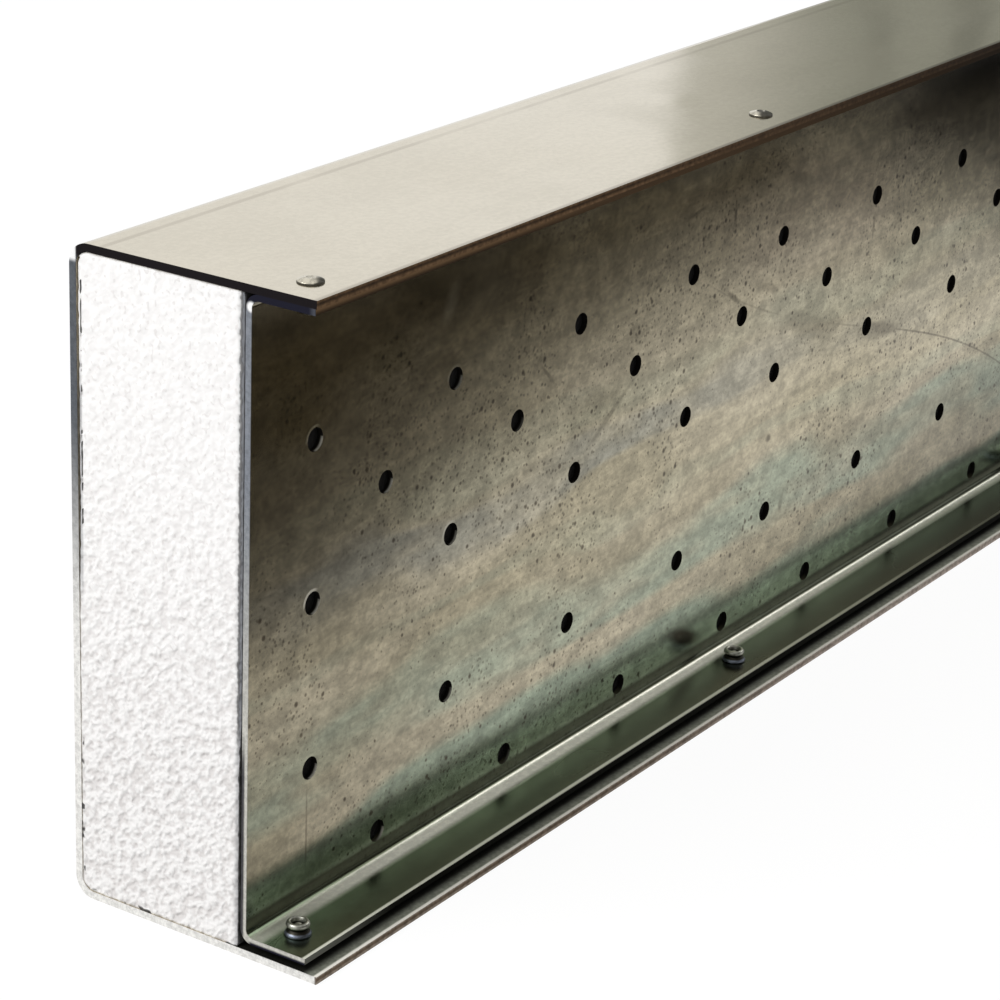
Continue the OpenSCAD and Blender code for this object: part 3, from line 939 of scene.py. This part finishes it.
def tail_outline(rivet):
    """Set tail above the sheet face, from its foot to the mandrel in its bore."""
    foot, waist, ring = rivet.tail_foot_r, rivet.tail_waist_r, rivet.tail_ring_r
    bore, pin, h = rivet.tail_bore_r, rivet.mandrel_r, rivet.tail_h
    floor = h - rivet.tail_bore_h
    return [
        (foot - 0.0005, 0), (foot - 0.0001, 0.04 * h), (foot, 0.12 * h), (foot - 0.0003, 0.22 * h),
        (waist + 0.0002, 0.38 * h), (waist, 0.46 * h), (waist + 0.0002, 0.54 * h),
        (ring - 0.0001, 0.66 * h), (ring, 0.75 * h), (ring - 0.0001, 0.86 * h),
        (ring - 0.0004, 0.955 * h), (ring - 0.0008, h), (bore + 0.0003, h), (bore, h - 0.0003),
        (bore - 0.0001, floor), (pin + 0.0003, floor), (pin, floor + 0.0004),
        (pin * 0.7, floor + 0.0007), (0, floor + 0.0008),
    ]


def head_outline(rivet):
    """Low button above the sheet face: a short upright rim, and a dome with a shallow pit."""
    rim, rise, pin = rivet.head_h * 0.42, rivet.head_h * 0.58, rivet.mandrel_r
    outer, reach = rivet.head_r - 0.0001, rivet.head_r - 0.0002
    dome = (reach ** 2 + rise ** 2) / (2 * rise)
    outline = [(outer, 0), (rivet.head_r, rim * 0.5), (outer, rim * 0.9)]
    steps = 8
    for part in range(steps + 1):
        radius = reach - part * (reach - pin - 0.0002) / steps
        outline.append((radius, rim + rise - dome + math.sqrt(dome ** 2 - radius ** 2)))
    edge = outline[-1][1]
    return outline + [(pin, edge - 0.0001), (pin * 0.7, edge - 0.0001), (0, edge - 0.00005)]


def rivet_shape(rivet, grip, domed):
    """Head down at the height 0 and tail up at the grip. A domed head stands below 0."""
    tail = [(radius, grip + height) for radius, height in tail_outline(rivet)]
    if domed:
        head = [(radius, -height) for radius, height in reversed(head_outline(rivet))]
        head[-1] = (rivet.head_r, 0)
        below = head + [(rivet.shank_r, 0)]
    else:
        mouth = rivet.mandrel_r
        below = [
            (0, 0.0006), (mouth * 0.8, 0.0005), (mouth, 0.0006), (mouth + 0.0001, 0.0001),
            (mouth + 0.0003, 0), (rivet.head_r, 0), (rivet.shank_r, rivet.sunk_h),
        ]
    shape = turned(below + [(rivet.shank_r, grip)] + tail, rivet.steps)
    for face in shape.faces:
        face.smooth = True
    return shape


def set_rivets(rivet, names, domed, label):
    """Turns one rivet for each CAD rivet and sets it in the same hole."""
    material = bpy.data.materials.get("rivet_steel") or rivet_finish(rivet)
    for number, name in enumerate(names, 1):
        low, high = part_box(name)
        head = rivet.head_h if domed else 0
        grip = high.z - low.z - head - CAD_TAIL_H
        shape = rivet_shape(rivet, grip, domed)
        turn = Matrix.Rotation(math.pi, 4, "X") if domed else Matrix.Rotation(number * 0.7, 4, "Z")
        base = high.z - head if domed else low.z
        place = Matrix.Translation(((low.x + high.x) / 2, (low.y + high.y) / 2, base))
        bmesh.ops.transform(shape, matrix=place @ turn, verts=shape.verts)
        piece = finished_piece(f"{label}_{number}", shape, material, name)
        piece.data.set_sharp_from_angle(angle=math.radians(50))


# ------------------------ studio


def stage_sheet(name, corners, material, **seen):
    """A flat stage card through four corners."""
    shape = bmesh.new()
    shape.faces.new([shape.verts.new(corner) for corner in corners])
    card = made_of(name, shape, material)
    for key, value in seen.items():
        setattr(card, f"visible_{key}", value)


def seen_directly(nodes):
    """1 for what the eye, metal or glass sees of the room, 0 for light on matt surfaces."""
    path = nodes.add("ShaderNodeLightPath").outputs
    return nodes.most(path["Is Camera Ray"], path["Is Glossy Ray"], path["Is Transmission Ray"])


def floor_paint(studio):
    """Pale floor that looks white and keeps the shadow. From below it is clear."""
    coat = Finish("floor_paint")
    paint = coat.add("ShaderNodeBsdfDiffuse", [studio.floor]).outputs[0]
    glow = coat.add("ShaderNodeEmission", {"Strength": 1.07}).outputs[0]
    seen = coat.both(seen_directly(coat), studio.glow)
    white = coat.add("ShaderNodeMixShader", (seen, paint, glow)).outputs[0]
    clear = coat.add("ShaderNodeBsdfTransparent").outputs[0]
    below = coat.add("ShaderNodeNewGeometry").outputs["Backfacing"]
    return coat.end(coat.add("ShaderNodeMixShader", (below, white, clear)))


def grey_card(studio):
    """Tall card far behind, whose tone falls off along it. The top flange mirrors it."""
    coat = Finish("grey_card_paint", studio.card_near)
    bearing, reach = math.radians(30.5), 4
    start = Vector((reach * math.cos(bearing) - 0.33, reach * math.sin(bearing), 0))
    stop = start + Vector((1.0, -2.6, 0))
    up = Vector((0, 0, 3))
    along = coat.less(coat.x, start.x)
    coat.paint(studio.card_middle, coat.rise(along, 0.02, 0.1))
    coat.paint(studio.card_far, coat.rise(along, 0.17, 0.25))
    for middle, half, depth in ((0.113, 0.004, 0.2), (0.165, 0.006, 0.28)):
        coat.tone(coat.scaled(coat.strip(along, middle, half, 0.008), -depth, 1))
    return [start, stop, stop + up, start + up], coat.end(coat.add("ShaderNodeEmission", [coat.color]))


def dark_card(studio):
    """Low card along the open side. It darkens upwards, from a line that falls to both ends."""
    coat = Finish("dark_card_paint", WHITE)
    off = coat.less(coat.x, 0.01)
    left, right = coat.math("MINIMUM", off, 0), coat.most(off, 0)
    bend = coat.plus(coat.both(left, 0.41, left), coat.both(right, 1.3, right))
    above = coat.less(coat.z, coat.most(coat.less(0.078, bend), 0.004))
    flag = coat.mix(coat.rise(coat.x, -0.1, 0.12), studio.flag_left, studio.flag_right)
    coat.paint(flag, coat.rise(above, -0.055, 0.05))
    left, right, up = Vector((-0.9, -0.15, 0.001)), Vector((0.9, -0.15, 0.001)), Vector((0, 0, 0.15))
    return [left, right, right + up, left + up], coat.end(coat.add("ShaderNodeEmission", [coat.color]))


def lamp(name, place, target, power, width, height):
    """A soft rectangular lamp aimed at a point."""
    light = bpy.data.lights.new(name, "AREA")
    light.shape, light.size, light.size_y, light.energy = "RECTANGLE", width, height, power
    item = bpy.data.objects.new(name, light)
    item.location = place
    item.rotation_euler = (Vector(target) - Vector(place)).to_track_quat("-Z", "Y").to_euler()
    bpy.context.scene.collection.objects.link(item)


def white_room(studio):
    """World that looks white and lights matt surfaces more gently."""
    world = bpy.data.worlds.new("white_room")
    world.use_nodes = True
    bpy.context.scene.world = world
    room = Nodes(world.node_tree)
    back = room.tree.nodes["Background"]
    room.put(back.inputs["Color"], WHITE)
    room.put(back.inputs["Strength"], room.rise(seen_directly(room), 0, 1, studio.ambient, 1))


def camera():
    """Camera at the near end, level with the top of a bench and a little above the lintel."""
    lens = bpy.data.cameras.new("camera")
    lens.lens, lens.sensor_width = 115.126, 36
    lens.clip_start, lens.clip_end = 0.05, 60
    item = bpy.data.objects.new("camera", lens)
    item.location = (-1.27913, -0.55404, 0.48474)
    item.rotation_euler = [math.radians(a) for a in (68.9131, -2.1152, -55.8265)]
    bpy.context.scene.collection.objects.link(item)
    bpy.context.scene.camera = item


# ------------------------ operators


class LINTEL_OT_outer_channel(bpy.types.Operator):
    """Give the outer channel its bright zinc."""

    bl_idname = "lintel.outer_channel"
    bl_label = "Outer channel"
    bl_options = {"REGISTER", "UNDO"}

    def execute(self, context):
        give("outer_channel", outer_zinc(context.scene.lintel_outer))
        return {"FINISHED"}


class LINTEL_OT_inner_channel(bpy.types.Operator):
    """Give the perforated inner channel its weathered zinc."""

    bl_idname = "lintel.inner_channel"
    bl_label = "Inner channel"
    bl_options = {"REGISTER", "UNDO"}

    def execute(self, context):
        give("inner_channel", inner_zinc(context.scene.lintel_inner))
        return {"FINISHED"}


class LINTEL_OT_foam_core(bpy.types.Operator):
    """Build the bead foam core with its sawn ends."""

    bl_idname = "lintel.foam_core"
    bl_label = "Foam core"
    bl_options = {"REGISTER", "UNDO"}

    def execute(self, context):
        foam = context.scene.lintel_foam
        finished_piece("bead_foam_core", foam_core(foam), foam_finish(foam), "foam_core")
        return {"FINISHED"}


class LINTEL_OT_top_rivets(bpy.types.Operator):
    """Set the domed blind rivets of the top flanges."""

    bl_idname = "lintel.top_rivets"
    bl_label = "Top rivets"
    bl_options = {"REGISTER", "UNDO"}

    def execute(self, context):
        set_rivets(context.scene.lintel_rivets, TOP_RIVETS, True, "blind_rivet_top")
        return {"FINISHED"}


class LINTEL_OT_bottom_rivets(bpy.types.Operator):
    """Set the blind rivets of the bottom flanges, tails up."""

    bl_idname = "lintel.bottom_rivets"
    bl_label = "Bottom rivets"
    bl_options = {"REGISTER", "UNDO"}

    def execute(self, context):
        set_rivets(context.scene.lintel_rivets, BOTTOM_RIVETS, False, "blind_rivet_bottom")
        return {"FINISHED"}


class LINTEL_OT_studio(bpy.types.Operator):
    """Set up the floor, cards, lamps, world and camera."""

    bl_idname = "lintel.studio"
    bl_label = "Studio"
    bl_options = {"REGISTER", "UNDO"}

    def execute(self, context):
        studio = context.scene.lintel_studio
        reach = 30.0
        stage_sheet(
            "floor",
            [(-reach, -reach, 0), (reach, -reach, 0), (reach, reach, 0), (-reach, reach, 0)],
            floor_paint(studio),
        )
        hidden = {"camera": False, "diffuse": False, "shadow": False, "transmission": False}
        stage_sheet("grey_card", *grey_card(studio), **hidden)
        stage_sheet("dark_card", *dark_card(studio), **hidden)
        lamp("key_lamp", (-2.2, 0.9, 1.7), (-0.5, 0, 0.1), studio.key_power, 1.3, 1.3)
        lamp("soft_box", (2.74, -0.99, 2.41), (-0.3, 0, 0), studio.fill_power, 2.4, 1.3)
        white_room(studio)
        camera()
        context.scene.view_settings.view_transform = "Standard"
        return {"FINISHED"}


class LINTEL_PT_panel(bpy.types.Panel):
    """Buttons that finish the lintel piece by piece, with their sizes and colours."""

    bl_idname = "LINTEL_PT_panel"
    bl_label = "Box lintel"
    bl_space_type = "VIEW_3D"
    bl_region_type = "UI"
    bl_category = "Lintel"

    def draw(self, context):
        for operator, group in STEPS.items():
            box = self.layout.box()
            box.operator(operator.bl_idname)
            settings = getattr(context.scene, group)
            for key in settings.__annotations__:
                box.prop(settings, key)


GROUPS = {
    "lintel_outer": LintelOuterZinc,
    "lintel_inner": LintelInnerZinc,
    "lintel_foam": LintelFoam,
    "lintel_rivets": LintelRivets,
    "lintel_studio": LintelStudio,
}
STEPS = {
    LINTEL_OT_outer_channel: "lintel_outer",
    LINTEL_OT_inner_channel: "lintel_inner",
    LINTEL_OT_foam_core: "lintel_foam",
    LINTEL_OT_top_rivets: "lintel_rivets",
    LINTEL_OT_bottom_rivets: "lintel_rivets",
    LINTEL_OT_studio: "lintel_studio",
}
CLASSES = (*GROUPS.values(), *STEPS, LINTEL_PT_panel)


def register():
    for item in CLASSES:
        bpy.utils.register_class(item)
    for name, group in GROUPS.items():
        setattr(bpy.types.Scene, name, PointerProperty(type=group))


def unregister():
    for name in GROUPS:
        delattr(bpy.types.Scene, name)
    for item in reversed(CLASSES):
        bpy.utils.unregister_class(item)


def main():
    register()
    bpy.ops.lintel.outer_channel()
    bpy.ops.lintel.inner_channel()
    bpy.ops.lintel.foam_core()
    bpy.ops.lintel.top_rivets()
    bpy.ops.lintel.bottom_rivets()
    bpy.ops.lintel.studio()


if __name__ == "__main__":
    main()
